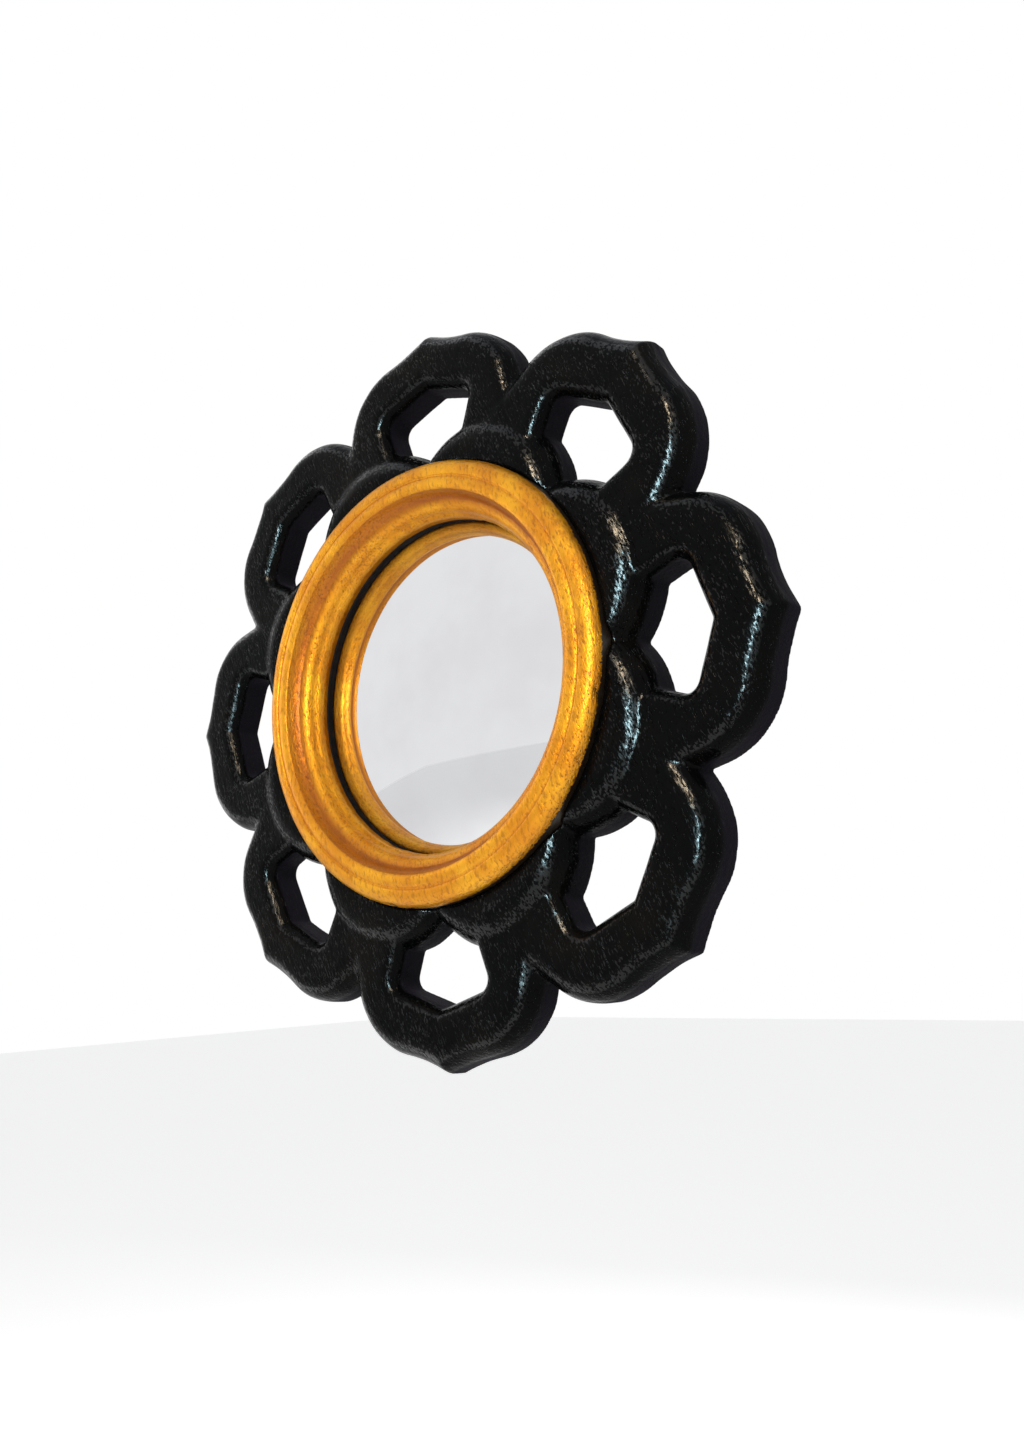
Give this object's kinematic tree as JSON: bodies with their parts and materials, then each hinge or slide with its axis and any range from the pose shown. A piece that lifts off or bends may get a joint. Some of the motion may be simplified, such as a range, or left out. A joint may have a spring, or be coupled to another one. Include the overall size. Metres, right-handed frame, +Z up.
{
  "type": "convex mirror",
  "caption": "Round convex wall mirror in a black carved flower frame of looped ogee petals, with a turned gold ring round the glass and a hanging ring behind.",
  "frame": {"origin": "centre of the frame's flat back, on the axis of the glass", "axes": "+Z up the wall, +X to the viewer's right, -Y out of the wall towards the viewer, so the glass faces -Y"},
  "size_m": [0.33, 0.028, 0.33],
  "materials": {
    "black_wood": "gloss black paint over open-grained carved wood",
    "gold_wood": "brushed gold paint over turned wood",
    "mirror": "silvered glass",
    "gasket": "dark felt",
    "hardboard": "brown hardboard",
    "brass": "stamped brass",
    "steel": "zinc-plated steel"
  },
  "bodies": {
    "frame": {"petal_frame": "black_wood", "gilt_ring": "gold_wood", "glass_gasket": "gasket", "mirror_glass": "mirror", "backing_board": "hardboard", "turn_button_screws": "steel", "hanger_strap": "steel", "hanger_screw": "steel"},
    "button_1": {"turn_button_1": "brass"},
    "button_2": {"turn_button_2": "brass"},
    "button_3": {"turn_button_3": "brass"},
    "button_4": {"turn_button_4": "brass"},
    "ring": {"hanger_ring": "steel"}
  },
  "joints": [
    {"name": "button_1_turn", "type": "hinge", "parent": "frame", "child": "button_1", "pos_m": [0.06364, -0.00185, 0.06364], "axis": [0, 1, 0], "range_deg": [-100, 100]},
    {"name": "button_2_turn", "type": "hinge", "parent": "frame", "child": "button_2", "pos_m": [0.06364, -0.00185, -0.06364], "axis": [0, 1, 0], "range_deg": [-100, 100]},
    {"name": "button_3_turn", "type": "hinge", "parent": "frame", "child": "button_3", "pos_m": [-0.06364, -0.00185, -0.06364], "axis": [0, 1, 0], "range_deg": [-100, 100]},
    {"name": "button_4_turn", "type": "hinge", "parent": "frame", "child": "button_4", "pos_m": [-0.06364, -0.00185, 0.06364], "axis": [0, 1, 0], "range_deg": [-100, 100]},
    {"name": "ring_swing", "type": "hinge", "parent": "frame", "child": "ring", "pos_m": [0, -0.002, 0.147], "axis": [-1, 0, 0], "range_deg": [0, 175]}
  ]
}
